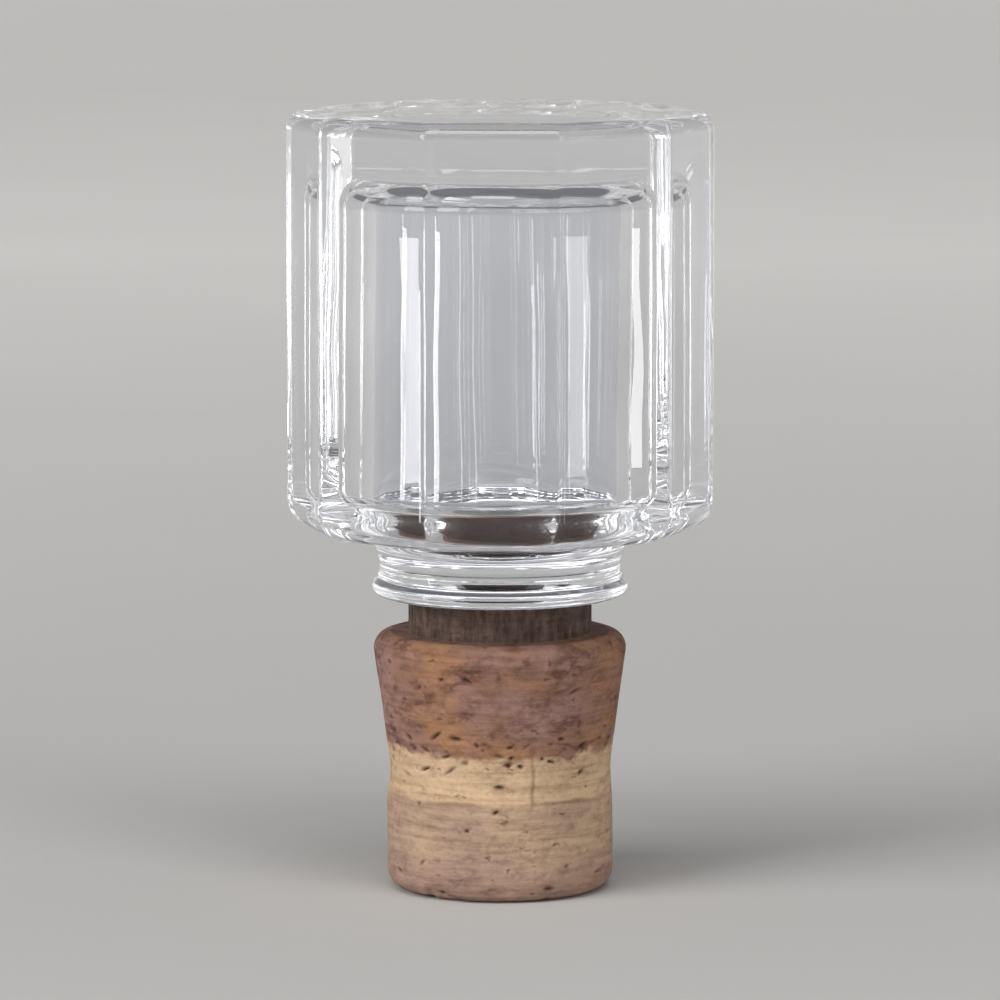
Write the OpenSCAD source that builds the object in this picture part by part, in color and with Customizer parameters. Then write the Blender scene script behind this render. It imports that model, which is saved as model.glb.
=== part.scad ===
// Glass stopper: a hollow ten-sided glass knob whose peg is glued into a cork.
// Millimetres, +Z up. The origin is the centre of the flat end of the cork.

/* [Head] */
// Width of the head across two opposite flats
head_flats = 49.6; // [44:0.2:60]
// Height of the head from its underside to its top
head_h = 51.05; // [40:0.05:70]
// Radius of the rounding along the top rim
top_round = 2.2; // [1:0.1:4]
// Radius of the rounding along the lower edge
lower_round = 3.7; // [1:0.1:6]
// Radius of the rounding on each upright edge between two flats
edge_round = 1.6; // [0.6:0.1:4]

/* [Hollow] */
// Radius of the round hollow blown inside the head
hollow_r = 14.9; // [10:0.1:16]
// Glass left between the hollow and the top of the head
cap_t = 7.8; // [5:0.1:14]
// Glass left between the lowest point of the hollow and the foot of the neck
floor_t = 6.95; // [5:0.05:14]
// Radius of the turn from the wall of the hollow to its top
hollow_top_round = 3.5; // [1:0.1:6]
// Radius of the turn from the wall of the hollow to its floor
hollow_floor_round = 2.5; // [2:0.1:6]
// Radius of the dished floor of the hollow
hollow_dish_r = 24; // [20:0.5:60]

/* [Neck] */
// Height of the neck from its foot to the underside of the head
neck_h = 7.95; // [7:0.05:14]
// Radius of the neck at its waist
neck_r = 14.7; // [13:0.1:17]
// Radius of the fillet between the neck and the underside of the head
neck_fillet = 4.3; // [2:0.1:6]
// Radius of the bead round the foot of the neck
bead_r = 15.6; // [15.2:0.1:18]
// Half of the height of the bead
bead_round = 1.1; // [0.8:0.1:2]
// Radius of the fillet between the bead and the neck
bead_fillet = 2.6; // [1.5:0.1:4]

/* [Peg] */
// Radius of the peg below the neck
peg_r = 5.5; // [4:0.1:8]
// Length of the peg below the neck
peg_l = 20; // [12:0.5:28]
// Radius of the rounding at the tip of the peg
peg_round = 1; // [0.5:0.1:3]

/* [Cork] */
// Height of the cork, up to the top of its collar
cork_h = 36; // [30:0.1:45]
// Radius of the straight lower part of the cork
cork_r = 13.9; // [12.5:0.1:16]
// Height of the straight lower part of the cork
cork_land_h = 11; // [6:0.5:12]
// Radius of the cork at its waist
waist_r = 13.5; // [12:0.1:15]
// Height of the waist, where the cork starts to flare
waist_h = 15; // [13:0.5:20]
// Radius that the flare reaches at the height of the shoulder
flare_r = 15.8; // [14:0.1:18]
// Height of the shoulder
shoulder_h = 31.5; // [26:0.1:34]
// Radius of the rounding round the shoulder
shoulder_round = 2; // [0.5:0.1:3]
// Radius of the collar under the neck
collar_r = 11.2; // [9:0.1:12]
// Radius of the worn edge at the lower end of the cork
cork_round = 2.2; // [0.5:0.1:3]

/* [Fit] */
// Thickness of the glue between the glass and the cork
glue_t = 0.05; // [0.02:0.01:0.2]

/* [Hidden] */
$fn = 96;
// How far a cut or a joined block runs past the face that it meets
overlap = 1;
// How far two rounded surfaces that run into each other cross
bite = 0.02;
// Flats round the head, an even number because each bar carries two of them
head_sides = 10;
side_step = 360 / head_sides;
head_half = head_flats / 2;
// Top of the cork, which the glass stands on: its collar, or its shoulder where that is higher
cork_top_z = max(cork_h, shoulder_h);
foot_z = cork_top_z + glue_t;
under_z = foot_z + neck_h;
top_z = under_z + head_h;
peg_tip_z = foot_z - peg_l;
// Centre of the bead's round section
bead_mid_r = bead_r - bead_round;
bead_mid_z = foot_z + bead_round;
// Centre of the fillet that lies against both the neck and the bead
bead_fillet_r = neck_r + bead_fillet - bite;
bead_fillet_d = bead_round + bead_fillet - bite;
bead_fillet_z = bead_mid_z + sqrt(pow(bead_fillet_d, 2) - pow(bead_fillet_r - bead_mid_r, 2));
// Centre of the fillet that lies against both the neck and the underside of the head
neck_fillet_r = neck_r + neck_fillet - bite;
neck_fillet_z = under_z - neck_fillet + bite;
// The hollow's floor is a dish that runs into the wall through a tangent turn
hollow_top_z = top_z - cap_t;
dish_mid_z = foot_z + floor_t + hollow_dish_r;
turn_mid_r = hollow_r - hollow_floor_round;
turn_drop = sqrt(pow(hollow_dish_r - hollow_floor_round, 2) - pow(turn_mid_r, 2));
turn_mid_z = dish_mid_z - turn_drop;
// Centre of the shoulder's rounding, which lies against the flare and the shoulder
flare_lean = atan((flare_r - waist_r) / (shoulder_h - waist_h));
shoulder_mid_z = shoulder_h - shoulder_round;
shoulder_mid_r = flare_r - shoulder_round * (tan(flare_lean) + 1 / cos(flare_lean));

// Rectangle from (x0, z0) to (x1, z1) in a section
module block(x0, z0, x1, z1) {
    translate([x0, z0]) square([x1 - x0, z1 - z0]);
}

// Round spot of radius r at (x, z) in a section, with its seam at an angle that gets buried
module spot(x, z, r, seam) {
    translate([x, z]) rotate(seam) circle(r);
}

// Plan of the head: a polygon whose corners are rounded by edge_round
module head_plan() {
    corner_d = (head_half - edge_round) / cos(side_step / 2);
    corner_r = edge_round + bite;
    flat_angles = [for (k = [0 : head_sides - 1]) 90 + k * side_step];
    corners = [for (a = flat_angles) corner_d * [cos(a + side_step / 2), sin(a + side_step / 2)]];
    polygon([
        for (k = [0 : head_sides - 1], turn = [0, side_step])
            corners[k] + corner_r * [cos(flat_angles[k] + turn), sin(flat_angles[k] + turn)]
    ]);
    for (k = [0 : head_sides - 1])
        spot(corners[k][0], corners[k][1], corner_r, flat_angles[k] + side_step / 2 + 180);
}

// Section of the head across two opposite flats, with the rim and lower edge rounded
module head_section() {
    rim_x = head_half - top_round;
    low_x = head_half - lower_round;
    block(-head_half, under_z + lower_round, head_half, top_z - top_round);
    block(-rim_x, top_z - top_round - overlap, rim_x, top_z);
    block(-low_x, under_z, low_x, under_z + lower_round + overlap);
    for (side = [-1, 1]) {
        spot(side * rim_x, top_z - top_round, top_round, 270 - side * 45);
        spot(side * low_x, under_z + lower_round, lower_round, 90 + side * 45);
    }
}

// Head: what all pairs of flats have in common, with rounded upright edges
module head() {
    intersection() {
        translate([0, 0, under_z - overlap]) linear_extrude(head_h + 2 * overlap) head_plan();
        intersection_for (k = [0 : head_sides / 2 - 1])
            rotate([90, 0, 90 + k * side_step])
                linear_extrude(2 * head_flats, center = true) head_section();
    }
}

// Section of the neck: bead at the foot, waist, and fillet up to the head
module neck_section() {
    block(0, foot_z, bead_mid_r, bead_mid_z);
    spot(bead_mid_r, bead_mid_z, bead_round, 180);
    block(0, foot_z, neck_r, under_z + overlap);
    difference() {
        polygon([[0, bead_mid_z], [bead_mid_r, bead_mid_z], [bead_fillet_r, bead_fillet_z], [0, bead_fillet_z]]);
        spot(bead_fillet_r, bead_fillet_z, bead_fillet, 45);
    }
    difference() {
        block(0, neck_fillet_z, neck_fillet_r, under_z + overlap);
        spot(neck_fillet_r, neck_fillet_z, neck_fillet, -45);
    }
}

// Section of the peg, rounded at its tip
module peg_section() {
    block(0, peg_tip_z, peg_r - peg_round, foot_z + overlap);
    block(0, peg_tip_z + peg_round, peg_r, foot_z + overlap);
    spot(peg_r - peg_round, peg_tip_z + peg_round, peg_round, 135);
}

// Section of the hollow: dished floor, straight wall and flat top, with rounded turns
module hollow_section() {
    intersection() {
        spot(0, dish_mid_z, hollow_dish_r, 90);
        polygon([
            [0, dish_mid_z],
            [0, dish_mid_z - 2 * hollow_dish_r],
            2 * [turn_mid_r, -turn_drop] + [0, dish_mid_z]
        ]);
        block(0, foot_z, hollow_r, turn_mid_z);
    }
    spot(turn_mid_r, turn_mid_z, hollow_floor_round, 135);
    block(0, turn_mid_z, hollow_r, hollow_top_z - hollow_top_round);
    block(0, turn_mid_z, hollow_r - hollow_top_round, hollow_top_z);
    spot(hollow_r - hollow_top_round, hollow_top_z - hollow_top_round, hollow_top_round, 225);
}

// Glass knob: head, neck and peg in one piece, with the hollow inside
module glass_knob() {
    color([0.85, 0.92, 0.94, 0.4])
        difference() {
            union() {
                head();
                rotate_extrude() neck_section();
                rotate_extrude() peg_section();
            }
            rotate_extrude() hollow_section();
        }
}

// Section of the cork: worn lower edge, straight land, waist, flare, rounded shoulder and collar
module cork_section() {
    shoulder_mid = [shoulder_mid_r, shoulder_mid_z];
    block(0, 0, cork_r - cork_round, cork_land_h);
    block(0, cork_round, cork_r, cork_land_h);
    spot(cork_r - cork_round, cork_round, cork_round, 135);
    polygon([
        [0, cork_land_h],
        [cork_r, cork_land_h],
        [waist_r, waist_h],
        shoulder_mid + shoulder_round * [cos(flare_lean), -sin(flare_lean)],
        shoulder_mid + [0, shoulder_round],
        [0, shoulder_h]
    ]);
    spot(shoulder_mid_r, shoulder_mid_z, shoulder_round, 225);
    block(0, shoulder_mid_z, collar_r, cork_top_z);
}

// Cork with the blind bore that takes the peg
module cork() {
    color([0.72, 0.53, 0.35])
        difference() {
            rotate_extrude() cork_section();
            translate([0, 0, peg_tip_z - glue_t]) cylinder(r = peg_r + glue_t, h = peg_l + overlap);
        }
}

glass_knob();
cork();
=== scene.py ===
"""Glass stopper dressed for rendering: a hollow ten-sided glass knob glued into a natural cork.

Sizes are in millimetres until a mesh is made. Meshes are in metres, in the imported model's frame:
+Z up along the axis, the origin at the middle of the cork's lower end, one flat facing -Y.
"""

import logging
import math
from dataclasses import dataclass, field
from enum import Enum
from typing import Any

import bpy
import numpy as np
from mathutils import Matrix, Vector

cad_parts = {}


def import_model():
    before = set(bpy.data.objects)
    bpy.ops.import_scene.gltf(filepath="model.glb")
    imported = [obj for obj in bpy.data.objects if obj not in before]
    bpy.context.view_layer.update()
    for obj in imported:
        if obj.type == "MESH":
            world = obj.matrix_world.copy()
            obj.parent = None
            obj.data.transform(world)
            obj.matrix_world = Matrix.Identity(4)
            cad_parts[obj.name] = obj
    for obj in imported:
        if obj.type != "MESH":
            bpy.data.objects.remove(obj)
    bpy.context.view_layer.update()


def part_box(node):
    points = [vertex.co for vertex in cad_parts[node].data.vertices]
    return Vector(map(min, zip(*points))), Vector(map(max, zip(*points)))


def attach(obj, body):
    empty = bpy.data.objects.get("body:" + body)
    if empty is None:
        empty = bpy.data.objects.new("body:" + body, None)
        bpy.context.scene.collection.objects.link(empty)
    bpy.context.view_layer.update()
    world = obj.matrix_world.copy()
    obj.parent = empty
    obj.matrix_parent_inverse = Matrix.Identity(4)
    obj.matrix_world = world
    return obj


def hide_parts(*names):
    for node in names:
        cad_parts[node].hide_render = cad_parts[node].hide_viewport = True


Colour = tuple[float, float, float]
Point = tuple[float, float, float]
Pair = tuple[float, float]
Stops = tuple[tuple[float, Colour], ...]
Socket = bpy.types.NodeSocket

LOG = logging.getLogger("stopper")
MM = 0.001
BODY = "root"
GLUE_GAP = 0.05
POLE_R = 0.8
LIGHT_BOUNCES = 40
FULL_TURN = 2 * math.pi
EVEN: Point = (1, 1, 1)
WHITE: Colour = (1, 1, 1)


class Facing(Enum):
    """Which way the faces of a shell point: away from the axis side of its profile, or towards it."""

    OUT = 1
    IN = -1


@dataclass
class Shell:
    """Closed surface carried round the axis.

    Attributes:
        rings: Points of shape (stations, angles, 3), from the first pole's side to the last one's.
        first: Point that closes the first ring.
        last: Point that closes the last ring.
        facing: Which way the faces point.
        values: Named numbers for each point, of shape (stations, angles).
    """

    rings: np.ndarray
    first: Point
    last: Point
    facing: Facing = Facing.OUT
    values: dict[str, np.ndarray] = field(default_factory=dict)

    def points(self) -> np.ndarray:
        """Returns all points as rows, the rings first and then the two poles."""
        return np.vstack([self.rings.reshape(-1, 3), [self.first], [self.last]])

    def numbers(self, key: str) -> np.ndarray:
        """Returns the named number of each row of points, where a pole has its ring's first."""
        values = self.values[key]
        return np.append(values, [values[0, 0], values[-1, 0]])

    def faces(self) -> list[list[int]]:
        """Joins ring to ring with quads and each end ring to its pole with a fan.

        Returns:
            Point numbers of each face, turned the way that facing says.
        """
        stations, angles, _ = self.rings.shape
        row, col = np.meshgrid(np.arange(stations - 1), np.arange(angles), indexing="ij")
        here = row * angles + col
        beside = row * angles + (col + 1) % angles
        quads = np.stack([here, beside, beside + angles, here + angles], axis=-1).reshape(-1, 4)
        ring = np.arange(angles)
        following = (ring + 1) % angles
        last_ring = (stations - 1) * angles
        pole = stations * angles
        low = np.stack([following, ring, np.full(angles, pole)], axis=-1)
        high = np.stack([last_ring + ring, last_ring + following, np.full(angles, pole + 1)], axis=-1)
        turn = self.facing.value
        return quads[:, ::turn].tolist() + low[:, ::turn].tolist() + high[:, ::turn].tolist()


def added(name: str, data: bpy.types.ID) -> bpy.types.Object:
    """Adds an object to the scene, at the origin.

    Args:
        name: Name of the object.
        data: Its mesh, lamp or lens.

    Returns:
        The new object.
    """
    thing = bpy.data.objects.new(name, data)
    bpy.context.scene.collection.objects.link(thing)
    return thing


def aimed(name: str, data: bpy.types.ID, place: Point, aim: Vector) -> bpy.types.Object:
    """Adds a lamp or a camera that looks at a point.

    Args:
        name: Name of the object.
        data: Its lamp or lens.
        place: Where it stands, in millimetres.
        aim: Point that it looks at, in metres.

    Returns:
        The new object.
    """
    holder = added(name, data)
    holder.location = Vector(place) * MM
    holder.rotation_euler = (aim - holder.location).to_track_quat("-Z", "Y").to_euler()
    return holder


def mesh_of(name: str, shells: list[Shell]) -> bpy.types.Object:
    """Puts shells into one smooth mesh object at the origin.

    Args:
        name: Name of the object.
        shells: Closed surfaces in millimetres.

    Returns:
        The new object, in metres.
    """
    points: list[np.ndarray] = []
    faces: list[list[int]] = []
    start = 0
    for shell in shells:
        rows = shell.points()
        points.append(rows)
        faces += [[start + number for number in face] for face in shell.faces()]
        start += len(rows)
    mesh = bpy.data.meshes.new(name)
    mesh.from_pydata((np.vstack(points) * MM).tolist(), [], faces)
    for key in shells[0].values:
        numbers = np.concatenate([shell.numbers(key) for shell in shells])
        layer = mesh.attributes.new(key, "FLOAT", "POINT")
        layer.data.foreach_set("value", numbers.astype(np.float32))
    mesh.shade_smooth()
    mesh.update()
    return added(name, mesh)


def arc(mid_r: float, mid_z: float, radius: float, start: float, end: float, count: int) -> np.ndarray:
    """Arc of a circle: (mid_r + radius cos a, mid_z + radius sin a), a in degrees from start to end."""
    a = np.radians(np.linspace(start, end, count))
    return np.stack([mid_r + radius * np.cos(a), mid_z + radius * np.sin(a)], axis=-1)


def straight(start: Pair, end: Pair, count: int) -> np.ndarray:
    """Points of a straight stretch, crowded towards both ends by a cosine so that shading stays flat."""
    t = (1 - np.cos(np.linspace(0, math.pi, count))) / 2
    return np.array(start) + t[:, None] * (np.array(end) - np.array(start))


def round_axis(count: int) -> np.ndarray:
    """Evenly spaced angles of one whole turn, in radians."""
    return np.linspace(0, FULL_TURN, count, endpoint=False)


def carried(reach: np.ndarray, z: np.ndarray, turn: np.ndarray) -> np.ndarray:
    """Carries a profile round the axis: each point is (reach cos turn, reach sin turn, z).

    Args:
        reach: Distances from the axis, of shape (stations, 1) or (stations, angles).
        z: Heights, of shape (stations,).
        turn: Angles in radians, of shape (angles,).

    Returns:
        Points of shape (stations, angles, 3).
    """
    x = reach * np.cos(turn)
    y = reach * np.sin(turn)
    return np.stack([x, y, np.broadcast_to(z[:, None], x.shape)], axis=-1)


def arc_length(turn: np.ndarray, middle: float, radius: float) -> np.ndarray:
    """Distance round the axis from the angle middle, the short way, at that radius."""
    return ((turn - middle + math.pi) % FULL_TURN - math.pi) * radius


def ripple(
    points: np.ndarray, wavelength: float, seed: int, count: int = 9, spread: Pair = (0.7, 1.5)
) -> np.ndarray:
    """Smooth unevenness in space: a sum of sines along random directions, over twice its usual size.

    Args:
        points: Places of shape (..., 3).
        wavelength: Usual length of one wave.
        seed: Seed of the directions, lengths and phases.
        count: Number of sines.
        spread: Shortest and longest wave, as multiples of wavelength.

    Returns:
        Values of about -1 to 1, of shape (...).
    """
    draw = np.random.default_rng(seed)
    aims = draw.normal(size=(count, 3))
    aims /= np.linalg.norm(aims, axis=1, keepdims=True)
    lengths = wavelength * draw.uniform(*spread, count)
    phases = draw.uniform(0, FULL_TURN, count)
    waves = np.sin(points @ (aims * (FULL_TURN / lengths)[:, None]).T + phases)
    return waves.sum(axis=-1) / math.sqrt(count / 2) / 2


@dataclass(frozen=True)
class Unevenness:
    """Smooth ripple of a surface.

    Attributes:
        depth: Its depth in millimetres.
        wavelength: Usual length of one wave.
        seed: Seed of its waves.
    """

    depth: float
    wavelength: float
    seed: int

    def sway(self, points: np.ndarray) -> np.ndarray:
        """Ripple to both sides of the surface, of about -depth to depth."""
        return self.depth * ripple(points, self.wavelength, self.seed)

    def sink(self, points: np.ndarray) -> np.ndarray:
        """Ripple to the inner side alone, from 0 to depth."""
        return self.depth * (0.5 + 0.5 * np.clip(ripple(points, self.wavelength, self.seed), -1, 1))


def polygon_radius(
    theta: np.ndarray, flat: np.ndarray, corner: float, sides: int, most: float = 0.9
) -> np.ndarray:
    """Distance from the axis to a polygon with rounded corners.

    Within a flat it is flat / cos(phi), where phi is the angle from the flat's middle. Near a corner it
    is the far crossing with the corner's circle, whose centre lies on the corner's own line.

    Args:
        theta: Angles in radians, 0 at the middle of a flat.
        flat: Distance from the axis to each flat.
        corner: Radius of the rounded corners.
        sides: Number of flats.
        most: Largest share of flat that this radius may be.

    Returns:
        The distances, broadcast over all arguments.
    """
    half = math.pi / sides
    phi = np.abs((theta + half) % (2 * half) - half)
    bend = np.minimum(corner, most * flat)
    centre = (flat - bend) / math.cos(half)
    across = centre * np.sin(half - phi)
    round_part = centre * np.cos(half - phi) + np.sqrt(np.maximum(bend**2 - across**2, 0))
    on_flat = flat * np.tan(phi) <= (flat - bend) * math.tan(half)
    return np.where(on_flat, flat / np.cos(phi), round_part)


@dataclass(frozen=True)
class Pattern:
    """Noise on Object coordinates.

    Attributes:
        scale: Features in a metre.
        detail: Number of finer layers.
        rough: Weight of each finer layer.
        stretch: Multiplier of the coordinates on each axis.
        span: Values of the noise between which it fades.
        gives: What those two values become.
    """

    scale: float
    detail: float
    rough: float = 0.5
    stretch: Point = EVEN
    span: Pair = (0, 1)
    gives: Pair = (0, 1)


class NodeBoard:
    """Short way to write a material's node tree."""

    def __init__(self, name: str) -> None:
        """Starts a material with a Principled shader.

        Args:
            name: Name of the material.
        """
        self.material = bpy.data.materials.new(name)
        self.material.use_nodes = True
        self.tree = self.material.node_tree
        self.shader = self.tree.nodes["Principled BSDF"]

    def join(self, entry: Socket, value: Any) -> None:
        """Links a socket to an input, or sets the input to a plain value.

        Args:
            entry: The input.
            value: Socket of another node, or the plain value.
        """
        if isinstance(value, Socket):
            self.tree.links.new(value, entry)
        else:
            entry.default_value = value

    def shade(self, entry: str, value: Any) -> None:
        """Joins a value or a socket to the shader's input of that name."""
        self.join(self.shader.inputs[entry], value)

    def add(self, kind: str, inputs: dict[str | int, Any] | None = None, **settings: Any) -> bpy.types.Node:
        """Adds a node.

        Args:
            kind: Type of the node.
            inputs: Values or sockets for its inputs.
            settings: Values for its own properties.

        Returns:
            The new node.
        """
        node = self.tree.nodes.new(kind)
        for key, value in settings.items():
            setattr(node, key, value)
        for entry, value in (inputs or {}).items():
            self.join(node.inputs[entry], value)
        return node

    def coords(self) -> Socket:
        """Object coordinates, in metres."""
        return self.add("ShaderNodeTexCoord").outputs["Object"]

    def layer(self, name: str) -> Socket:
        """Value that the mesh carries under that name."""
        return self.add("ShaderNodeAttribute", attribute_name=name).outputs["Fac"]

    def noise(self, pattern: Pattern) -> Socket:
        """Plain noise of a pattern.

        Args:
            pattern: Its scale, detail and stretch.

        Returns:
            Values of about 0 to 1.
        """
        place = self.coords()
        if pattern.stretch != EVEN:
            stretched = {"Vector": place, "Scale": pattern.stretch}
            place = self.add("ShaderNodeMapping", stretched).outputs["Vector"]
        inputs = {"Vector": place, "Scale": pattern.scale, "Detail": pattern.detail}
        return self.add("ShaderNodeTexNoise", inputs | {"Roughness": pattern.rough}).outputs["Fac"]

    def ranged(self, value: Socket, span: Pair, gives: Pair = (0, 1)) -> Socket:
        """Carries the values of span over to those of gives, without going past their ends."""
        ends = {"From Min": span[0], "From Max": span[1], "To Min": gives[0], "To Max": gives[1]}
        return self.add("ShaderNodeMapRange", {"Value": value} | ends).outputs["Result"]

    def faded(self, pattern: Pattern) -> Socket:
        """Noise of a pattern, carried over to the values that it gives."""
        return self.ranged(self.noise(pattern), pattern.span, pattern.gives)

    def mixed(self, factor: Any, first: Any, second: Any, blend: str = "MIX") -> Socket:
        """Mixes two colours.

        Args:
            factor: Share of the second colour.
            first: Colour, or a socket that gives one.
            second: Colour, or a socket that gives one.
            blend: How they are mixed.

        Returns:
            The mixed colour.
        """
        node = self.add("ShaderNodeMix", {"Factor": factor}, data_type="RGBA", blend_type=blend)
        entries = [entry for entry in node.inputs if entry.type == "RGBA"]
        for entry, value in zip(entries, (first, second)):
            self.join(entry, value if isinstance(value, Socket) else (*value, 1))
        return [result for result in node.outputs if result.type == "RGBA"][0]

    def maths(self, operation: str, first: Any, second: Any = 0.0) -> Socket:
        """Result of a Math node."""
        return self.add("ShaderNodeMath", {0: first, 1: second}, operation=operation).outputs[0]

    def ramp(self, value: Socket, stops: Stops) -> Socket:
        """Colour ramp.

        Args:
            value: Place on the ramp.
            stops: Places from 0 to 1, each with its colour.

        Returns:
            The colour at that place.
        """
        node = self.add("ShaderNodeValToRGB", {"Fac": value})
        elements = node.color_ramp.elements
        while len(elements) < len(stops):
            elements.new(1.0)
        for element, (place, colour) in zip(elements, stops):
            element.position = place
            element.color = (*colour, 1)
        return node.outputs["Color"]


@dataclass(frozen=True)
class ClearGlass:
    """Fire-polished soda-lime glass: clear, with a faint blue-grey cast and faint smears.

    Attributes:
        refraction: Index of refraction.
        thin: Cast where the melt is clearest.
        thick: Cast where it is least clear.
        smears: Upright smears, which give the roughness.
    """

    refraction: float = 1.515
    thin: Colour = (0.89, 0.90, 0.925)
    thick: Colour = (0.85, 0.865, 0.905)
    smears: Pattern = Pattern(55, 1, stretch=(1, 1, 0.35), span=(0.62, 0.8), gives=(0.0, 0.02))

    def material(self) -> bpy.types.Material:
        """Makes a clear refracting shader whose cast and gloss waver a little up the head.

        Returns:
            The new material.
        """
        board = NodeBoard("clear_glass")
        smears = board.noise(self.smears)
        board.shade("Roughness", board.ranged(smears, self.smears.span, self.smears.gives))
        board.shade("Base Color", board.mixed(smears, self.thin, self.thick))
        board.shade("IOR", self.refraction)
        board.shade("Transmission Weight", 1.0)
        return board.material


@dataclass(frozen=True)
class CorkTints:
    """Colours of an old natural cork and the heights at which they change, in millimetres.

    Attributes:
        height: Height of the cork.
        lower_end: Colour of the worn lower end.
        lower_tan: Colour of the lower half.
        seam: Colour of the faint line below the golden band.
        golden: Colour of the golden band.
        stain: Middle colour of the stain, with rust and pink its two extremes.
        rust: Orange-brown patches of the stain.
        pink: Purplish patches of the stain.
        vein: Dark streaks that wander through the stain.
        pit: Colour of the dark specks, and of the painted shade inside the pits and the crack.
        glued: Colour of the cork where most glue soaked in.
        glued_brown: Colour of the fibres that took less glue.
        end_z: Height at which the colour of the lower end begins to fade.
        tan_edge: Height at which it has faded out.
        seam_z: Height of the faint line.
        seam_fades: How far the line fades out below and above.
        stain_edge: Height of the stain's ragged lower edge.
        stain_fade: Half the height over which that edge fades.
        gilding_z: Heights between which gold comes in above the worn lower end.
        gilding_share: Share of the gold below and above them.
        vein_width: Distances from the middle of a vein between which it fades, as noise values.
        vein_dark: Darkness of a vein's middle and of its edge.
        waver: How the bands waver up and down.
        ragged: How the stain's edge is ragged.
        patches: Patches of the stain, with patch_stops the values of rust, stain and pink.
        wander: Noise whose middle value the veins follow.
        vein_gaps: Gaps that break the veins.
        gilding: Patches of gold.
    """

    height: float
    lower_end: Colour = (0.42, 0.270, 0.225)
    lower_tan: Colour = (0.51, 0.355, 0.262)
    seam: Colour = (0.42, 0.280, 0.195)
    golden: Colour = (0.72, 0.515, 0.335)
    stain: Colour = (0.37, 0.205, 0.150)
    rust: Colour = (0.46, 0.245, 0.135)
    pink: Colour = (0.41, 0.240, 0.208)
    vein: Colour = (0.15, 0.065, 0.045)
    # Colour of the real specks, and also of the painted shade mixed into the pits and the crack by their
    # depth.
    pit: Colour = (0.085, 0.040, 0.028)
    glued: Colour = (0.055, 0.038, 0.033)
    glued_brown: Colour = (0.185, 0.135, 0.115)
    end_z: float = 0.6
    tan_edge: float = 6.5
    seam_z: float = 12.0
    seam_fades: Pair = (0.6, 0.4)
    stain_edge: float = 17.8
    stain_fade: float = 0.5
    gilding_z: Pair = (3.0, 7.5)
    gilding_share: Pair = (0.15, 1)
    vein_width: Pair = (0.01, 0.075)
    vein_dark: Pair = (0.75, 0)
    waver: Pattern = Pattern(150, 2, gives=(-0.8 * MM, 0.8 * MM))
    ragged: Pattern = Pattern(260, 6, 0.62, gives=(-3.2 * MM, 3.2 * MM))
    patches: Pattern = Pattern(95, 3, 0.55, stretch=(1, 1, 1.5))
    patch_stops: tuple[float, float, float] = (0.38, 0.50, 0.62)
    wander: Pattern = Pattern(190, 4, 0.6, stretch=(0.8, 0.8, 1.7))
    vein_gaps: Pattern = Pattern(230, 3, span=(0.42, 0.62))
    gilding: Pattern = Pattern(75, 2, span=(0.46, 0.64), gives=(0, 0.6))

    def bands(self) -> Stops:
        """Colours up the unstained part.

        Returns:
            Heights as shares of the whole, each with its colour.
        """
        below, above = self.seam_fades
        stops = (
            (self.end_z, self.lower_end),
            (self.tan_edge, self.lower_tan),
            (self.seam_z - below, self.lower_tan),
            (self.seam_z, self.seam),
            (self.seam_z + above, self.golden),
        )
        return tuple((z / self.height, colour) for z, colour in stops)

    def bare(self, board: NodeBoard, level: Socket) -> Socket:
        """Colour of the bands, with gold showing through the tan.

        Args:
            board: Node tree of the cork.
            level: Height in metres.

        Returns:
            The colour without the stain.
        """
        wavering = board.maths("ADD", level, board.faded(self.waver))
        share = board.ranged(wavering, (0, self.height * MM))
        low, high = self.gilding_z
        above_end = board.ranged(level, (low * MM, high * MM), self.gilding_share)
        gilding = board.maths("MULTIPLY", above_end, board.faded(self.gilding))
        return board.mixed(gilding, board.ramp(share, self.bands()), self.golden)

    def stained(self, board: NodeBoard) -> Socket:
        """Colour of the patchy stain with its broken dark veins, which lie where a noise is near a half.

        Args:
            board: Node tree of the cork.

        Returns:
            The colour of the stain.
        """
        stops = tuple(zip(self.patch_stops, (self.rust, self.stain, self.pink)))
        stain = board.ramp(board.noise(self.patches), stops)
        off_line = board.maths("ABSOLUTE", board.maths("SUBTRACT", board.noise(self.wander), 0.5))
        dark = board.ranged(off_line, self.vein_width, self.vein_dark)
        veins = board.maths("MULTIPLY", board.faded(self.vein_gaps), dark)
        return board.mixed(veins, stain, self.vein)

    def colour(self, board: NodeBoard) -> Socket:
        """Colour of the bands, and of the stain above its ragged edge.

        Args:
            board: Node tree of the cork.

        Returns:
            The colour, before grain, pits and glue.
        """
        level = board.add("ShaderNodeSeparateXYZ", {"Vector": board.coords()}).outputs["Z"]
        above = board.maths("ADD", level, board.faded(self.ragged))
        low, high = self.stain_edge - self.stain_fade, self.stain_edge + self.stain_fade
        is_stain = board.ranged(above, (low * MM, high * MM))
        return board.mixed(is_stain, self.bare(board, level), self.stained(board))


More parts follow.
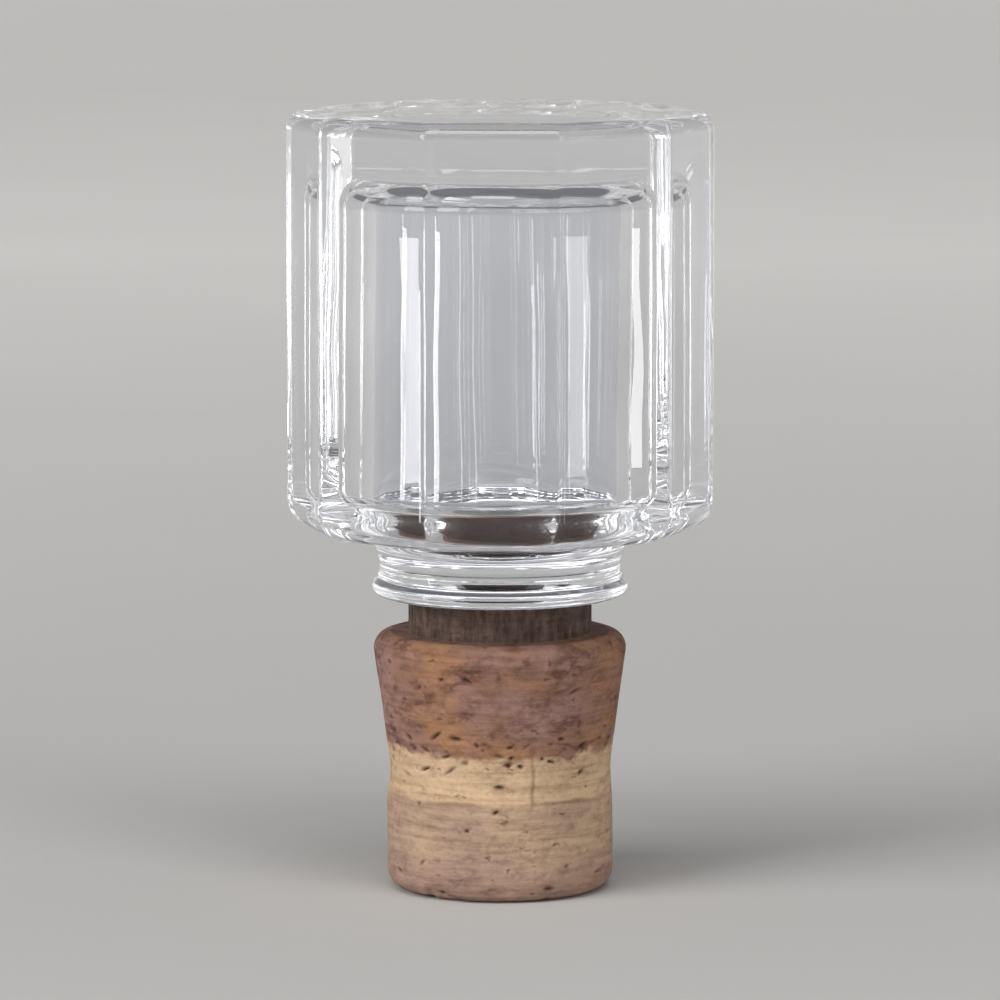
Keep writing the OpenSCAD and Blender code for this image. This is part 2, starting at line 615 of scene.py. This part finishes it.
@dataclass(frozen=True)
class NaturalCork:
    """Matte finish of an old cork, grained round the axis.

    Attributes:
        tints: Its colours and their heights.
        fibres: Upright fibres where glue soaked in, and fibre_stops where they are dark and brown.
        grain: Level grain, with its shades and their share.
        mottle: Uneven tone, with its shades and their share.
        cells_per_m: Fine cells in a metre, with their shades and share.
        specks: Small dark specks.
        tooth: Fine tooth of the surface, which gives the roughness.
        specular: Level of the reflection.
        cell_relief: Relief of the cells beside that of the tooth.
        bump_strength: Strength of the relief.
        bump_depth: Depth of the relief in millimetres.
    """

    tints: CorkTints
    fibres: Pattern = Pattern(1100, 4, 0.6, stretch=(1, 1, 0.3))
    fibre_stops: Pair = (0.36, 0.66)
    grain: Pattern = Pattern(480, 5, 0.6, stretch=(0.28, 0.28, 3.4))
    grain_share: float = 0.8
    grain_shades: Stops = (
        (0.34, (0.74, 0.68, 0.63)),
        (0.50, (0.97, 0.96, 0.95)),
        (0.68, (1.14, 1.12, 1.08)),
    )
    mottle: Pattern = Pattern(420, 7, 0.65, stretch=(1, 1, 1.8))
    mottle_share: float = 0.7
    mottle_shades: Stops = (
        (0.30, (0.55, 0.48, 0.44)),
        (0.48, (0.96, 0.94, 0.92)),
        (0.72, (1.18, 1.16, 1.10)),
    )
    cells_per_m: float = 1500
    cell_share: float = 0.3
    cell_shades: Stops = ((0.1, (0.70, 0.63, 0.58)), (0.5, WHITE))
    specks: Pattern = Pattern(800, 2, stretch=(0.7, 0.7, 1.3), span=(0.66, 0.72), gives=(0, 0.6))
    tooth: Pattern = Pattern(900, 6, 0.7, span=(0.2, 0.8), gives=(0.72, 0.95))
    specular: float = 0.3
    cell_relief: float = 0.6
    bump_strength: float = 0.45
    bump_depth: float = 0.25

    def soaked(self, board: NodeBoard) -> Socket:
        """Colour of the bands and the stain, darkened where the mesh says that glue soaked in.

        Args:
            board: Node tree of the cork.

        Returns:
            The colour, before grain and pits.
        """
        dark, brown = self.fibre_stops
        stops = ((dark, self.tints.glued), (brown, self.tints.glued_brown))
        glue = board.ramp(board.noise(self.fibres), stops)
        return board.mixed(board.layer("glued"), self.tints.colour(board), glue)

    def material(self) -> bpy.types.Material:
        """Makes a matte shader: the tints times grain, mottle and cells, then specks, painted shade in the
        pits and the crack, and relief.

        Returns:
            The new material.
        """
        board = NodeBoard("natural_cork")
        place = {"Vector": board.coords(), "Scale": self.cells_per_m}
        cells = board.add("ShaderNodeTexVoronoi", place).outputs["Distance"]
        colour = self.soaked(board)
        for share, value, shades in (
            (self.grain_share, board.noise(self.grain), self.grain_shades),
            (self.mottle_share, board.noise(self.mottle), self.mottle_shades),
            (self.cell_share, cells, self.cell_shades),
        ):
            colour = board.mixed(share, colour, board.ramp(value, shades), "MULTIPLY")
        # The pit layer is painted shade: the pits and the crack are darkened more the deeper they sink.
        for dark in (board.faded(self.specks), board.layer("pit")):
            colour = board.mixed(dark, colour, self.tints.pit)
        board.shade("Base Color", colour)
        tooth = board.noise(self.tooth)
        board.shade("Roughness", board.ranged(tooth, self.tooth.span, self.tooth.gives))
        board.shade("Specular IOR Level", self.specular)
        relief = board.maths("ADD", tooth, board.maths("MULTIPLY", cells, self.cell_relief))
        inputs = {"Height": relief, "Strength": self.bump_strength, "Distance": self.bump_depth * MM}
        board.shade("Normal", board.add("ShaderNodeBump", inputs).outputs["Normal"])
        return board.material


@dataclass(frozen=True)
class PaleSweep:
    """Plain matte paper of the floor and backdrop, which keeps its tone far from the lamps.

    Attributes:
        tone: Colour of the paper.
        fibre: Share by which the tone wavers.
        fibres: How it wavers.
        far: Distance from the axis at which the paper's own tone is added in full, in millimetres.
        lift: Strength of that added tone.
        rough: Roughness of the paper.
        specular: Level of its reflection.
    """

    tone: Colour = (0.60, 0.59, 0.57)
    fibre: float = 0.03
    fibres: Pattern = Pattern(9, 3)
    far: float = 900.0
    lift: float = 0.5
    rough: float = 0.95
    specular: float = 0.1

    def material(self) -> bpy.types.Material:
        """Makes a matte shader that is lifted far away, for what is seen directly or in glass.

        Returns:
            The new material.
        """
        board = NodeBoard("pale_sweep")
        dark = tuple(part * (1 - self.fibre) for part in self.tone)
        light = tuple(part * (1 + self.fibre) for part in self.tone)
        paper = board.mixed(board.noise(self.fibres), dark, light)
        reach = board.add("ShaderNodeVectorMath", {0: board.coords()}, operation="LENGTH").outputs["Value"]
        lift = board.ranged(reach, (0, self.far * MM), (0, self.lift))
        rays = board.add("ShaderNodeLightPath").outputs
        in_glass = board.maths("MAXIMUM", rays["Is Glossy Ray"], rays["Is Transmission Ray"])
        seen = board.maths("MAXIMUM", rays["Is Camera Ray"], in_glass)
        board.shade("Base Color", paper)
        board.shade("Emission Color", paper)
        board.shade("Emission Strength", board.maths("MULTIPLY", lift, seen))
        board.shade("Roughness", self.rough)
        board.shade("Specular IOR Level", self.specular)
        return board.material


@dataclass
class GlassKnob:
    """Hollow glass knob with its neck, bead and peg, as one closed skin and a closed hollow inside.

    Attributes:
        foot_z: Height of the neck's foot.
        top_z: Height of the head's top.
        peg_z: Height of the peg's tip.
        finish: Its glass.
        sides: Number of flats round the head.
        flat: Distance from the axis to a flat.
        top_round: Rounding of the head's rim, with lower_round that of its lower edge.
        edge_round: Rounding of the upright edges between the flats.
        neck_h: Height from the foot to the head's underside.
        neck_r: Radius of the waist, with neck_fillet its turn into the head.
        bead_r: Radius of the bead at the foot, with its rounding and the fillet above it.
        peg_r: Radius of the peg, with the rounding of its tip and the fillet at the foot.
        hollow_r: Radius of the hollow, with the roundings of its top and floor.
        hollow_dish_r: Radius of the hollow's dished floor.
        cap_t: Thickness of the glass above the hollow.
        floor_t: Height from the foot to the middle of the hollow's floor.
        flat_points: Points across a flat, which reach flat_reach of the way to its edges.
        edge_points: Points over a rounded edge, which reach edge_reach to each side of it.
        hollow_points: Points round the hollow, with hollow_pole_r its smallest ring.
        skin_wave: Unevenness of the skin.
        hollow_wave: Unevenness of the hollow, of which the share hollow_lift goes up and down.
    """

    foot_z: float
    top_z: float
    peg_z: float
    finish: ClearGlass = field(default_factory=ClearGlass)
    sides: int = 10
    flat: float = 24.8
    top_round: float = 2.2
    lower_round: float = 3.7
    edge_round: float = 1.6
    neck_h: float = 7.95
    neck_r: float = 14.7
    neck_fillet: float = 4.3
    bead_r: float = 15.6
    bead_round: float = 1.1
    bead_fillet: float = 2.6
    peg_r: float = 5.5
    peg_round: float = 1.0
    peg_fillet: float = 0.4
    hollow_r: float = 14.9
    hollow_top_round: float = 3.5
    hollow_floor_round: float = 2.5
    hollow_dish_r: float = 24.0
    cap_t: float = 7.8
    floor_t: float = 6.95
    flat_points: int = 16
    flat_reach: float = 0.76
    edge_points: int = 15
    edge_reach: float = 0.20
    hollow_points: int = 220
    hollow_pole_r: float = 0.6
    skin_wave: Unevenness = Unevenness(0.025, 17.0, 3)
    hollow_wave: Unevenness = Unevenness(0.14, 24.0, 11)
    hollow_lift: float = 0.5

    @property
    def under_z(self) -> float:
        """Height of the head's underside."""
        return self.foot_z + self.neck_h

    @property
    def under_r(self) -> float:
        """Radius at which the neck's fillet meets the head's underside."""
        return self.neck_r + self.neck_fillet

    @property
    def low_r(self) -> float:
        """Distance from the axis at which the rounding of the head's lower edge begins."""
        return self.flat - self.lower_round

    def angles(self) -> np.ndarray:
        """Angles round the head, 0 at the middle of a flat, close together over the rounded edges.

        Returns:
            The angles in radians.
        """
        half = math.degrees(math.pi / self.sides)
        over_flat = np.linspace(-self.flat_reach, self.flat_reach, self.flat_points) * half
        over_edge = np.linspace(1 - self.edge_reach, 1 + self.edge_reach, self.edge_points) * half
        one = np.concatenate([over_flat, over_edge])
        return np.radians(np.concatenate([one + 2 * half * side for side in range(self.sides)]))

    def peg_and_bead(self) -> np.ndarray:
        """Profile from the peg's tip, over the peg and the foot, to the widest part of the bead.

        Returns:
            Distances from the axis and heights, as rows.
        """
        tip_r = self.peg_r - self.peg_round
        tip_z = self.peg_z + self.peg_round
        seat_r = self.peg_r + self.peg_fillet
        seat_z = self.foot_z - self.peg_fillet
        bead_mid = self.bead_r - self.bead_round
        return np.vstack([
            straight((POLE_R, self.peg_z), (tip_r, self.peg_z), 6)[:-1],
            arc(tip_r, tip_z, self.peg_round, -90, 0, 8),
            straight((self.peg_r, tip_z), (self.peg_r, seat_z), 8)[1:-1],
            arc(seat_r, seat_z, self.peg_fillet, 180, 90, 6),
            straight((seat_r, self.foot_z), (bead_mid, self.foot_z), 8)[1:-1],
            arc(bead_mid, self.foot_z + self.bead_round, self.bead_round, -90, 0, 10),
        ])

    def neck(self) -> np.ndarray:
        """Profile from the bead's widest part, through the waist, to the underside of the head.

        The bead's arc and its fillet touch where the line between their centres crosses both.

        Returns:
            Distances from the axis and heights, as rows.
        """
        bead_mid = np.array([self.bead_r - self.bead_round, self.foot_z + self.bead_round])
        fillet_r = self.neck_r + self.bead_fillet
        rise = math.sqrt((self.bead_round + self.bead_fillet) ** 2 - (fillet_r - bead_mid[0]) ** 2)
        lean = math.degrees(math.atan2(rise, fillet_r - bead_mid[0]))
        fillet_z = bead_mid[1] + rise
        return np.vstack([
            arc(*bead_mid, self.bead_round, 0, lean, 10)[1:],
            arc(fillet_r, fillet_z, self.bead_fillet, 180 + lean, 180, 12)[1:],
            arc(self.under_r, self.under_z - self.neck_fillet, self.neck_fillet, 180, 90, 18),
        ])

    def head(self) -> np.ndarray:
        """Profile of the head across a flat, from its underside to the middle of its top.

        Returns:
            Distances from the axis and heights, as rows.
        """
        wall_low = self.under_z + self.lower_round
        wall_high = self.top_z - self.top_round
        rim_r = self.flat - self.top_round
        return np.vstack([
            straight((self.under_r, self.under_z), (self.low_r, self.under_z), 6)[1:-1],
            arc(self.low_r, wall_low, self.lower_round, -90, 0, 16),
            straight((self.flat, wall_low), (self.flat, wall_high), 40)[1:-1],
            arc(rim_r, wall_high, self.top_round, 0, 90, 14),
            straight((rim_r, self.top_z), (POLE_R, self.top_z), 16)[1:],
        ])

    def skin(self) -> Shell:
        """Outer surface: round below, ten-sided above, with the faint unevenness of blown glass.

        A station at height z and distance r is (1 - w) r + w polygon_radius(theta), where w goes from 0 at
        the neck to 1 at the head's lower edge, and back to 0 at the middle of the top.

        Returns:
            The closed skin.
        """
        below = np.vstack([self.peg_and_bead(), self.neck()])
        r, z = np.vstack([below, self.head()]).T
        is_head = np.arange(len(r)) >= len(below)
        on_top = is_head & np.isclose(z, self.top_z)
        under = np.clip((r - self.under_r) / (self.low_r - self.under_r), 0, 1)
        share = np.where(on_top, np.clip(r / self.low_r, 0, 1), np.where(is_head, under, 0.0))[:, None]
        theta = self.angles()
        ten_sided = polygon_radius(theta, r[:, None], self.edge_round, self.sides)
        reach = (1 - share) * r[:, None] + share * ten_sided
        rings = carried(reach, z, theta - math.pi / 2)
        sink = self.skin_wave.sink(rings)
        wall = is_head & ~on_top
        rings[wall, :, :2] *= (1 - sink[wall] / reach[wall])[..., None]
        rings[on_top, :, 2] -= sink[on_top]
        return Shell(rings, (0, 0, self.peg_z), (0, 0, self.top_z - self.skin_wave.depth / 2))

    def hollow(self) -> Shell:
        """Surface of the hollow: dished floor, turn, straight wall, turn and flat top, all round the axis.

        The turn at the floor touches both the dish and the wall, so its centre lies hollow_dish_r less
        hollow_floor_round from the dish's centre.

        Returns:
            The closed hollow, whose faces point into it.
        """
        dish_z = self.foot_z + self.floor_t + self.hollow_dish_r
        turn_r = self.hollow_r - self.hollow_floor_round
        drop = math.sqrt((self.hollow_dish_r - self.hollow_floor_round) ** 2 - turn_r**2)
        lean = -math.degrees(math.atan2(drop, turn_r))
        top_z = self.top_z - self.cap_t
        wall_low = dish_z - drop
        wall_high = top_z - self.hollow_top_round
        rim_r = self.hollow_r - self.hollow_top_round
        first_lean = -90 + math.degrees(self.hollow_pole_r / self.hollow_dish_r)
        r, z = np.vstack([
            arc(0, dish_z, self.hollow_dish_r, first_lean, lean, 16),
            arc(turn_r, wall_low, self.hollow_floor_round, lean, 0, 18)[1:],
            straight((self.hollow_r, wall_low), (self.hollow_r, wall_high), 40)[1:-1],
            arc(rim_r, wall_high, self.hollow_top_round, 0, 90, 16),
            straight((rim_r, top_z), (self.hollow_pole_r, top_z), 14)[1:],
        ]).T
        rings = carried(r[:, None], z, round_axis(self.hollow_points))
        sway = self.hollow_wave.sway(rings)
        rings[..., :2] *= (1 + sway / self.hollow_r)[..., None]
        rings[..., 2] += self.hollow_lift * sway
        low, high = (rings[end, :, 2].mean() for end in (0, -1))
        return Shell(rings, (0, 0, low), (0, 0, high), Facing.IN)

    def build(self) -> bpy.types.Object:
        """Makes the knob's mesh and dresses it.

        Returns:
            The knob, standing for the node glass_knob.
        """
        piece = mesh_of("glass_knob_skin", [self.skin(), self.hollow()])
        self.dress(piece)
        return piece

    def dress(self, piece: bpy.types.Object) -> None:
        """Gives the knob its glass and its place in the frame.

        Args:
            piece: The knob.
        """
        piece.data.materials.append(self.finish.material())
        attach(piece, BODY)
        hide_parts("glass_knob")


@dataclass
class Cork:
    """Natural cork with a flared top, a worn lower edge, open pits and the bore that holds the peg.

    Attributes:
        height: Height of the cork up to the glass.
        bore_z: Height of the bore's floor, with bore_r its radius.
        land_r: Radius of the straight lower part, with land_h its height.
        waist_r: Radius of the waist, with waist_h its height.
        flare_r: Radius at which the flare would meet the shoulder, with shoulder_z its height.
        shoulder_round: Rounding of the shoulder, with lower_round that of the lower edge.
        collar_r: Radius of the collar under the glass.
        side_points: Points up the side, with round_points those round it.
        blur: Half the height over which land, waist and flare run into each other, with blur_points.
        flare_keep: Height below the shoulder in which that stops.
        glue_shoulder: How dark with glue the shoulder is, and likewise the collar, seat and bore.
        face_r: Distance from the axis at which wear begins, over the distance face_fade.
        uneven: Unevenness of the side.
        chips: Chips of the lower edge; those shallower than the share chip_floor are left out.
        chip_reach: Height over which the chips fade, with chip_rise how far they lift the lower face.
        pit_count: Number of open pits, drawn from seed, of which the share pit_share is at the stain's edge.
        pit_line: Height of those at the edge, with pit_spread how far they scatter.
        pit_lowest: Least height of the others.
        pit_length: Shortest and longest pit, likewise their heights and depths.
        pit_tilt: How far pits tilt from the level, with pit_steep the steepness of their sides.
        pit_shade_depth: Depth at which the painted shade in the pits and the crack is full.
        crack_turn: Angle of the fine crack, with its heights, depth, width and fade.
        crack_waves: Sway, length and phase of the waves that it follows.
    """

    height: float
    bore_z: float
    bore_r: float
    land_r: float = 13.9
    land_h: float = 11.0
    waist_r: float = 13.5
    waist_h: float = 15.0
    flare_r: float = 15.8
    shoulder_z: float = 31.5
    shoulder_round: float = 2.0
    collar_r: float = 11.2
    lower_round: float = 2.2
    side_points: int = 140
    round_points: int = 400
    blur: float = 1.6
    blur_points: int = 9
    flare_keep: float = 2.0
    glue_shoulder: float = 0.5
    glue_collar: float = 0.9
    glue_seat: float = 0.7
    glue_bore: float = 1.0
    face_r: float = 8.0
    face_fade: float = 4.0
    uneven: Unevenness = Unevenness(0.16, 6.0, 21)
    chips: Unevenness = Unevenness(0.9, 3.2, 33)
    chip_floor: float = 0.25
    chip_reach: float = 1.6
    chip_rise: float = 0.6
    seed: int = 7
    pit_count: int = 150
    pit_share: float = 0.6
    pit_line: float = 18.4
    pit_spread: float = 1.1
    pit_lowest: float = 0.5
    pit_length: Pair = (0.25, 0.85)
    pit_height: Pair = (0.16, 0.32)
    pit_depth: Pair = (0.12, 0.5)
    pit_tilt: float = 0.3
    pit_steep: float = 1.5
    pit_shade_depth: float = 0.4
    crack_turn: float = math.radians(-71)
    crack_z: Pair = (11.0, 18.5)
    crack_depth: float = 0.16
    crack_width: float = 0.2
    crack_fade: float = 1.5
    crack_waves: tuple[Point, ...] = ((0.15, 1.9, 0.0), (0.08, 0.6, 1.0))

    def side(self, lean: float) -> np.ndarray:
        """Profile of the side: straight stretches through land, waist and flare, blurred up the side.

        Args:
            lean: Angle of the flare in radians.

        Returns:
            Distances from the axis and heights, as rows.
        """
        high = self.shoulder_z - self.shoulder_round - self.shoulder_round * math.sin(lean)
        z = np.linspace(self.lower_round, high, self.side_points)
        corners_z = [0, self.land_h, self.waist_h, self.shoulder_z]
        corners_r = [self.land_r, self.land_r, self.waist_r, self.flare_r]
        blur = np.linspace(-self.blur, self.blur, self.blur_points)[:, None]
        soft = np.interp(z + blur, corners_z, corners_r).mean(axis=0)
        keep = np.clip((z[-1] - z) / self.flare_keep, 0, 1)
        return np.stack([keep * soft + (1 - keep) * np.interp(z, corners_z, corners_r), z], axis=-1)

    def profile(self) -> tuple[np.ndarray, np.ndarray]:
        """Profile from the middle of the lower end, up the side, over the shoulder and down into the bore.

        Returns:
            The points, and how dark with glue each of them is, from 0 to 1.
        """
        low_mid = self.land_r - self.lower_round
        lean = math.atan((self.flare_r - self.waist_r) / (self.shoulder_z - self.waist_h))
        edge_z = self.shoulder_z - self.shoulder_round
        edge_r = self.flare_r - self.shoulder_round * (math.tan(lean) + 1 / math.cos(lean))
        foot = (self.collar_r, self.shoulder_z)
        brim = (self.collar_r, self.height)
        mouth = (self.bore_r, self.height)
        floor = (self.bore_r, self.bore_z)
        stretches = [
            (straight((POLE_R, 0), (low_mid, 0), 24)[:-1], 0.0),
            (arc(low_mid, self.lower_round, self.lower_round, -90, 0, 14)[:-1], 0.0),
            (self.side(lean), 0.0),
            (arc(edge_r, edge_z, self.shoulder_round, -math.degrees(lean), 90, 14)[1:], 0.0),
            (straight((edge_r, self.shoulder_z), foot, 8)[1:], self.glue_shoulder),
            (straight(foot, brim, 14)[1:], self.glue_collar),
            (straight(brim, mouth, 8)[1:], self.glue_seat),
            (straight(mouth, floor, 16)[1:], self.glue_bore),
            (straight(floor, (POLE_R, self.bore_z), 8)[1:], self.glue_bore),
        ]
        points = np.vstack([stretch for stretch, _ in stretches])
        glue = np.concatenate([np.full(len(stretch), dark) for stretch, dark in stretches])
        return points, glue

    def pits(self, turn: np.ndarray, z: np.ndarray) -> np.ndarray:
        """Depth of the open pits: the deepest of many bell shapes, longer round the cork than up it.

        Args:
            turn: Angles in radians, of shape (angles,).
            z: Heights, of shape (stations, 1).

        Returns:
            Depths in millimetres, of shape (stations, angles).
        """
        draw = np.random.default_rng(self.seed)
        count = self.pit_count
        at_edge = draw.random(count) < self.pit_share
        edge_z = draw.normal(self.pit_line, self.pit_spread, count)
        other_z = draw.uniform(self.pit_lowest, self.height, count)
        middles = draw.uniform(0, FULL_TURN, count)
        lengths = draw.uniform(*self.pit_length, count)
        heights = draw.uniform(*self.pit_height, count)
        depths = draw.uniform(*self.pit_depth, count)
        tilts = draw.normal(0, self.pit_tilt, count)
        places = np.where(at_edge, edge_z, other_z)
        deepest = np.zeros((len(z), len(turn)))
        pits = zip(places, middles, lengths, heights, depths, tilts)
        for place, middle, length, height, depth, tilt in pits:
            along = arc_length(turn, middle, self.land_r)
            up = z - place - tilt * along
            bell = depth * np.exp(-(((along / length) ** 2 + (up / height) ** 2) ** self.pit_steep))
            deepest = np.maximum(deepest, bell)
        return deepest

    def crack(self, turn: np.ndarray, z: np.ndarray) -> np.ndarray:
        """Depth of the fine upright crack: a bell across its wavering line, faded out at both ends.

        Args:
            turn: Angles in radians, of shape (angles,).
            z: Heights, of shape (stations, 1).

        Returns:
            Depths in millimetres, of shape (stations, angles).
        """
        low, high = self.crack_z
        along = arc_length(turn, self.crack_turn, self.land_r)
        line = sum(sway * np.sin(z / length + phase) for sway, length, phase in self.crack_waves)
        fade = np.clip((z - low) / self.crack_fade, 0, 1) * np.clip((high - z) / self.crack_fade, 0, 1)
        return self.crack_depth * fade * np.exp(-(((along - line) / self.crack_width) ** 2))

    def surface(self) -> Shell:
        """Profile carried round the axis and sunk by unevenness, chips, pits and the crack.

        Returns:
            The closed surface, with how much of each point is pit and glue.
        """
        profile, glue = self.profile()
        r, level = profile.T
        z = level[:, None]
        turn = round_axis(self.round_points)
        rings = carried(r[:, None], level, turn)
        fade = (np.clip((r - self.face_r) / self.face_fade, 0, 1) * (glue == 0))[:, None]
        depth = np.maximum(self.pits(turn, z), self.crack(turn, z)) * fade
        chip_waves = ripple(rings, self.chips.wavelength, self.chips.seed)
        chips = np.clip(chip_waves - self.chip_floor, 0, None) * np.exp(-((z / self.chip_reach) ** 2))
        sink = (self.uneven.sink(rings) + self.chips.depth * chips) * fade + depth
        rings[..., :2] *= (1 - sink / np.maximum(r[:, None], 1))[..., None]
        rise = self.chip_rise * self.chips.depth * chips * fade
        rings[..., 2] += np.where(z < self.lower_round, rise, 0)
        values = {
            # Painted shade of the pits and the crack, growing with their depth.
            "pit": np.clip(depth / self.pit_shade_depth, 0, 1),
            "glued": np.broadcast_to(glue[:, None], depth.shape),
        }
        return Shell(rings, (0, 0, 0), (0, 0, self.bore_z), Facing.OUT, values)

    def build(self) -> bpy.types.Object:
        """Makes the cork's mesh and dresses it.

        Returns:
            The cork, standing for the node cork.
        """
        piece = mesh_of("cork_body", [self.surface()])
        self.dress(piece)
        return piece

    def dress(self, piece: bpy.types.Object) -> None:
        """Gives the cork its finish and its place in the frame.

        Args:
            piece: The cork.
        """
        piece.data.materials.append(NaturalCork(CorkTints(self.height)).material())
        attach(piece, BODY)
        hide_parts("cork")


class Lights(Enum):
    """What a lamp does: light everything, or only glint in the glass."""

    ALL = "all"
    GLINT = "glint"


@dataclass(frozen=True)
class SoftBox:
    """Rectangular lamp that looks at the stopper.

    Attributes:
        name: Name of the lamp.
        place: Where it stands, in millimetres.
        size: Its width and height in millimetres.
        watts: Its power.
        lights: What it lights.
        tint: Its colour.
    """

    name: str
    place: Point
    size: Pair
    watts: float
    lights: Lights = Lights.ALL
    tint: Colour = WHITE

    def hang(self, aim: Vector) -> None:
        """Adds the lamp, which the camera doesn't see.

        Args:
            aim: Point that it looks at, in metres.
        """
        lamp = bpy.data.lights.new(self.name, "AREA")
        lamp.shape = "RECTANGLE"
        lamp.size, lamp.size_y = (side * MM for side in self.size)
        lamp.energy = self.watts
        lamp.color = self.tint
        holder = aimed(self.name, lamp, self.place, aim)
        holder.visible_camera = False
        holder.visible_diffuse = self.lights is Lights.ALL


LILAC: Colour = (0.93, 0.92, 1)
COOL: Colour = (0.84, 0.95, 1)
LAMPS = (
    SoftBox("front_left", (-1600, -1250, 1100), (1400, 1200), 28),
    SoftBox("front_right", (1500, -1500, 1000), (1200, 1200), 9),
    SoftBox("overhead", (0, -900, 1700), (1500, 700), 12),
    SoftBox("left_card", (-312, -139, 25), (48, 40), 0.060, Lights.GLINT),
    SoftBox("left_strip", (-124.2, -55.6, 54.7), (5.4, 34), 0.0046, Lights.GLINT, LILAC),
    SoftBox("left_edge", (-176, -293, 32), (12, 55), 0.014, Lights.GLINT, COOL),
    SoftBox("right_edge", (201, -277, 32), (12, 55), 0.014, Lights.GLINT, COOL),
    SoftBox("right_far", (312, -139, 27), (8, 46), 0.007, Lights.GLINT),
    SoftBox("right_strip", (127.6, -65.4, 54.7), (2.5, 34), 0.0011, Lights.GLINT),
    SoftBox("right_line", (140, -61, 54.7), (1.3, 34), 0.0012, Lights.GLINT),
)


@dataclass
class Studio:
    """Pale sweep, soft lamps and the camera at the photograph's angle.

    Attributes:
        middle_z: Height of the stopper's middle, at which lamps and camera look.
        sweep: Paper of the floor and backdrop.
        lamps: The soft lamps and the glints.
        sky: Colour of the even sky.
        floor_gap: How far the floor lies below the cork.
        floor_start: Radius of the floor's first ring.
        floor_r: Radius of the flat floor, with floor_rings its rings.
        wall_r: Radius at which the wall ends, with wall_h its height and wall_rings its rings.
        sweep_points: Points round the sweep.
        camera_distance: Distance of the camera from the axis.
        camera_height: Height of the camera.
        camera_turn: Angle of the camera to the right of the front flat, in degrees.
        frame_height: Height that the frame covers at the stopper.
        sensor: Width of the sensor.
        near_clip: Nearest distance that the camera sees.
    """

    middle_z: float
    sweep: PaleSweep = field(default_factory=PaleSweep)
    lamps: tuple[SoftBox, ...] = LAMPS
    sky: Colour = (0.16, 0.16, 0.17)
    floor_gap: float = 0.05
    floor_start: float = 5.0
    floor_r: float = 1500.0
    floor_rings: int = 12
    wall_r: float = 3200.0
    wall_h: float = 1700.0
    wall_rings: int = 40
    sweep_points: int = 96
    camera_distance: float = 755.0
    camera_height: float = 143.0
    camera_turn: float = 2.3
    frame_height: float = 122.0
    sensor: float = 36.0
    near_clip: float = 10.0

    def aim(self) -> Vector:
        """Middle of the stopper, in metres."""
        return Vector((0, 0, self.middle_z)) * MM

    def build_sweep(self) -> None:
        """Makes the floor, which rises into a wall all round by the cube of the way to the wall's end."""
        on_floor = np.linspace(self.floor_start, self.floor_r, self.floor_rings)
        on_wall = np.linspace(self.floor_r, self.wall_r, self.wall_rings)[1:]
        r = np.concatenate([on_floor, on_wall])
        step = np.clip((r - self.floor_r) / (self.wall_r - self.floor_r), 0, 1)
        z = self.wall_h * step**3 - self.floor_gap
        rings = carried(r[:, None], z, round_axis(self.sweep_points))
        shell = Shell(rings, (0, 0, -self.floor_gap), (0, 0, 0), Facing.IN)
        points = shell.points()[:-1]
        open_faces = [face for face in shell.faces() if max(face) < len(points)]
        mesh = bpy.data.meshes.new("pale_sweep")
        mesh.from_pydata((points * MM).tolist(), [], open_faces)
        mesh.shade_smooth()
        mesh.materials.append(self.sweep.material())
        added("pale_sweep", mesh)

    def build_light(self) -> None:
        """Hangs the lamps and sets an even sky."""
        for lamp in self.lamps:
            lamp.hang(self.aim())
        world = bpy.data.worlds.new("even_sky")
        world.use_nodes = True
        background = world.node_tree.nodes["Background"]
        background.inputs["Color"].default_value = (*self.sky, 1)
        background.inputs["Strength"].default_value = 1.0
        bpy.context.scene.world = world

    def build_camera(self) -> None:
        """Sets the camera a little right of the front flat and above the head, looking at the middle."""
        turn = math.radians(self.camera_turn)
        across = self.camera_distance * math.sin(turn)
        back = -self.camera_distance * math.cos(turn)
        lens = bpy.data.cameras.new("front_camera")
        holder = aimed("front_camera", lens, (across, back, self.camera_height), self.aim())
        lens.sensor_width = self.sensor
        lens.lens = self.sensor * (self.aim() - holder.location).length / MM / self.frame_height
        lens.clip_start = self.near_clip * MM
        bpy.context.scene.camera = holder


def main() -> None:
    """Loads the frame, builds the pieces in order and reports each one."""
    logging.basicConfig(level=logging.INFO, format="%(name)s: %(message)s")
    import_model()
    knob_low, knob_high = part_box("glass_knob")
    cork_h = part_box("cork")[1][2] / MM
    knob = GlassKnob(cork_h + GLUE_GAP, knob_high[2] / MM, knob_low[2] / MM)
    cork = Cork(cork_h, knob.peg_z - GLUE_GAP, knob.peg_r + GLUE_GAP)
    for piece in (knob.build(), cork.build()):
        LOG.info("%s has %d faces", piece.name, len(piece.data.polygons))
    studio = Studio(middle_z=knob_high[2] / MM / 2)
    studio.build_sweep()
    studio.build_light()
    studio.build_camera()
    scene = bpy.context.scene
    scene.view_settings.view_transform = "Standard"
    scene.cycles.max_bounces = LIGHT_BOUNCES
    scene.cycles.transmission_bounces = LIGHT_BOUNCES
    scene.cycles.glossy_bounces = LIGHT_BOUNCES


if __name__ == "__main__":
    main()
